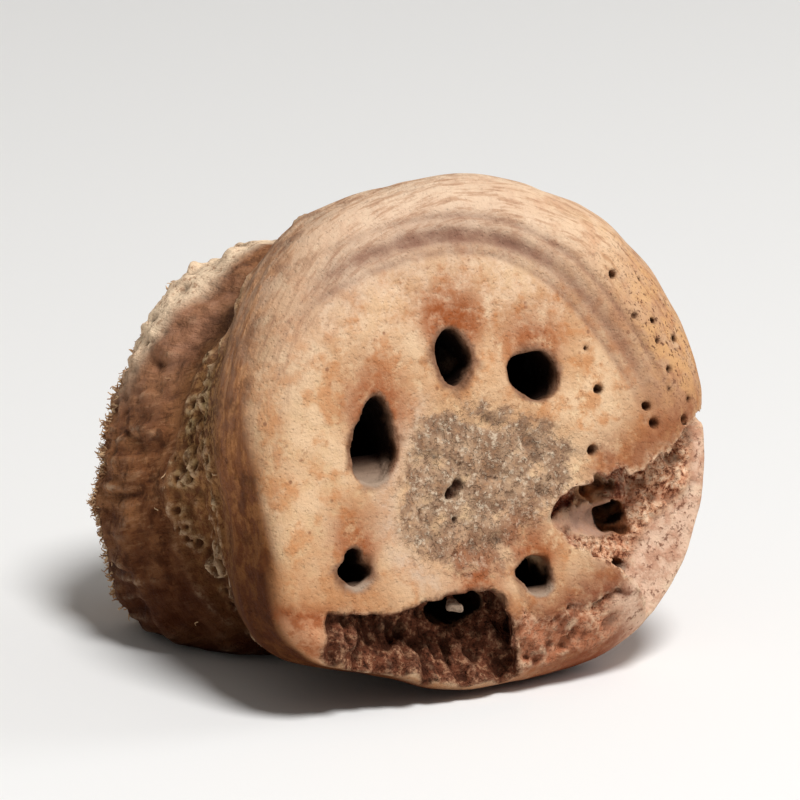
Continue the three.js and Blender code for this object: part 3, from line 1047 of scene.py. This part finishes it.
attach(node, "root")
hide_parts("lotus_root_node")

# ==== The root fibres ====
# Stubs of the hair-fine roots that once grew from the node still cling to its rind, pale, curled
# and brittle, thickest along the torn rear edge.
FIBRES = 620
FRINGE_SHARE = 0.8  # share of them that bunch on the left
REAR_SHARE = 0.98  # share of them that stand along the rear edge
FIBRE_STEPS = 7
FIBRE_SIDES = 4
FIBRE_THICK = 0.075
FIBRE_SUNK = 0.1
FIBRE_CLEAR = 0.6  # lower than this above the ground, fibres wore off

rng = np.random.default_rng(61)
bunched = rng.random(FIBRES) < FRINGE_SHARE
turns = np.where(bunched, rng.normal(3.15, 0.4, FIBRES), rng.uniform(-3.1, 3.1, FIBRES))
at_rear = rng.random(FIBRES) < REAR_SHARE
starts = np.where(at_rear, rng.uniform(23.6, 26, FIBRES), rng.uniform(7, 20, FIBRES))
reach = rng.uniform(0.2, 0.6, (FIBRES, 1, 1))
rise = rng.uniform(0.1, 0.36, (FIBRES, 1, 1))
foot = read_flank(flank_radius, turns, starts)[:, None, None]

outwards = np.stack([np.cos(turns), 0 * turns, np.sin(turns)], 1)[:, None]
sideways = np.stack([-np.sin(turns), 0 * turns, np.cos(turns)], 1)[:, None]
heading = rng.normal(0, 0.9, (FIBRES, 1, 1))
along = np.cos(heading) * np.array([0, 1, 0]) + np.sin(heading) * sideways
aside = np.cross(outwards, along)
t = np.linspace(0, 1, FIBRE_STEPS)[None, :, None]
curl = rng.uniform(-0.25, 0.25, (FIBRES, 1, 1))
wave = rng.uniform(0, 6.3, (FIBRES, 1, 1))
paths = outwards * foot + np.array([0, 1, 0]) * starts[:, None, None]
paths = paths + outwards * (1.2 * rise * np.sin(1.9 * t) + 0.05)
paths += along * reach * 0.8 * t
paths += aside * reach * (curl * t * t + 0.1 * (np.sin(7 * t + wave) - np.sin(wave)))
share = ease(paths[..., 1], *REAR_BEGINS)
paths[..., 0] += REAR_SHIFT[0] * share
paths[..., 2] = paths[..., 2] * (1 - REAR_SQUASH * share) + REAR_SHIFT[1] * share
start = (paths[:, 0] - grid_start) / STEP
rooted = start
for _ in range(10):
    rooted = settle_on(body, rooted)
paths += STEP * (rooted - start)[:, None] - FIBRE_SUNK * outwards
above_ground = paths[..., 2] * math.cos(SLOPE) - paths[..., 1] * math.sin(SLOPE) + FRONT_PLACE[2]
clear = (above_ground.min(1) > FIBRE_CLEAR) & (np.abs(read(body, rooted)) < 0.1)

run = np.gradient(paths, axis=1)
run /= np.linalg.norm(run, axis=2, keepdims=True)
first = np.cross(run, outwards + 0.3 * aside)
first /= np.linalg.norm(first, axis=2, keepdims=True)
second = np.cross(run, first)
angles = np.arange(FIBRE_SIDES) * 2 * math.pi / FIBRE_SIDES
thick = FIBRE_THICK * rng.uniform(0.6, 1.1, (FIBRES, 1, 1)) * (1 - 0.75 * t)
rings_of = [paths + thick * (math.cos(a) * first + math.sin(a) * second) for a in angles]
tubes = np.stack(rings_of, 2)[clear].reshape(-1, 3)
tip = (FIBRE_STEPS - 1) * FIBRE_SIDES
faces = []
for root in range(0, tip, FIBRE_SIDES):
    for j in range(FIBRE_SIDES):
        a = root + j
        b = root + (j + 1) % FIBRE_SIDES
        faces.append((a, b, b + FIBRE_SIDES, a + FIBRE_SIDES))
faces.append(tuple(reversed(range(FIBRE_SIDES))))
faces.append(tuple(range(tip, tip + FIBRE_SIDES)))
starts = np.arange(clear.sum()) * FIBRE_STEPS * FIBRE_SIDES
faces = (starts[:, None, None] + faces).reshape(-1, FIBRE_SIDES)
fibre_mesh = make_mesh("root_fibres", laid_down(*tubes.T), faces)
fibres = put("root_fibres", fibre_mesh)
mark(fibre_mesh, "own_place", tubes)
mark(fibre_mesh, "tip", np.tile(np.repeat(t.ravel(), FIBRE_SIDES), clear.sum()))

fibre_finish, tree, shader = new_finish("root_fibre")
tuft = grain(where("own_place"), 1.1, 3)
colour = over((174, 128, 88), (222, 186, 144), spread(tuft, 0.4, 0.6))
colour = over((128, 82, 52), colour, spread("tip", 0, 0.35))
feed(shader.inputs["Base Color"], colour)
feed(shader.inputs["Roughness"], spread(tuft, 0.3, 0.7, 0.7, 0.9))
fibre_mesh.materials.append(fibre_finish)
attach(fibres, "root")

# ==== The floor ====
# Not part of the node: a plain pale sheet of matt paper that it lies on, level under it and curving
# up behind it.
middle = (low + high) / 2
FLOOR_HALF = 0.9
FLOOR_BACK = 0.5
FLOOR_TOP = 1.6
FLOOR_SHADE = (0.86, 0.855, 0.845, 1)
CURVE = 0.35
VIEW_TURN = math.radians(27)
profile = [(-FLOOR_HALF, 0), (FLOOR_BACK, 0)]
for step in range(1, 13):
    swing = math.radians(7.5 * step)
    profile.append((FLOOR_BACK + CURVE * math.sin(swing), CURVE * (1 - math.cos(swing))))
profile.append((FLOOR_BACK + CURVE, FLOOR_TOP))
corners = []
for away, rise in profile:
    for aside in (-FLOOR_HALF * 1.5, FLOOR_HALF * 1.5):
        x = math.sin(VIEW_TURN) * away + math.cos(VIEW_TURN) * aside
        y = math.cos(VIEW_TURN) * away - math.sin(VIEW_TURN) * aside
        corners.append((x, y, rise))
floor_faces = np.array([(2 * i, 2 * i + 1, 2 * i + 3, 2 * i + 2) for i in range(len(profile) - 1)])
floor_mesh = make_mesh("floor", corners, floor_faces)
floor = put("floor", floor_mesh)
floor_mesh.shade_smooth()
floor_finish, tree, shader = new_finish("floor_paint")
feed(shader.inputs["Base Color"], FLOOR_SHADE)
feed(shader.inputs["Roughness"], 0.9)
floor_mesh.materials.append(floor_finish)

# ==== The light ====
# One broad soft lamp high in front draws the relief, a weak one from the right fills the chip, and
# pale light from all round softens the shadows.


def lamp(name, place, size, power):
    data = bpy.data.lights.new(name, "AREA")
    data.shape = "DISK"
    data.size = size
    data.energy = power
    made = put(name, data)
    made.location = middle + Vector(place)
    made.rotation_euler = (-Vector(place)).to_track_quat("-Z", "Y").to_euler()


lamp("key", (0.04, -0.30, 0.57), 0.22, 4.05)
lamp("side", (0.5, -0.1, 0.25), 0.3, 0.7)
world = bpy.data.worlds.new("pale_room")
world.use_nodes = True
sky = world.node_tree.nodes["Background"]
feed(sky.inputs["Color"], (1, 0.965, 0.91, 1))
feed(sky.inputs["Strength"], 0.18)
bpy.context.scene.world = world
bpy.context.scene.view_settings.view_transform = "Standard"

# ==== The camera ====
# A long lens, a little above the node and a little to its left, so the front cut and the left
# flank both show.
camera_data = bpy.data.cameras.new("camera")
camera_data.lens = 400
camera_data.sensor_width = 36
camera = put("camera", camera_data)
RISE = math.radians(15)
DISTANCE = 0.55
level = math.cos(RISE)
aim = Vector((math.sin(VIEW_TURN) * level, math.cos(VIEW_TURN) * level, -math.sin(RISE)))
camera.location = middle - aim * DISTANCE
camera.rotation_euler = aim.to_track_quat("-Z", "Y").to_euler()
bpy.context.scene.camera = camera
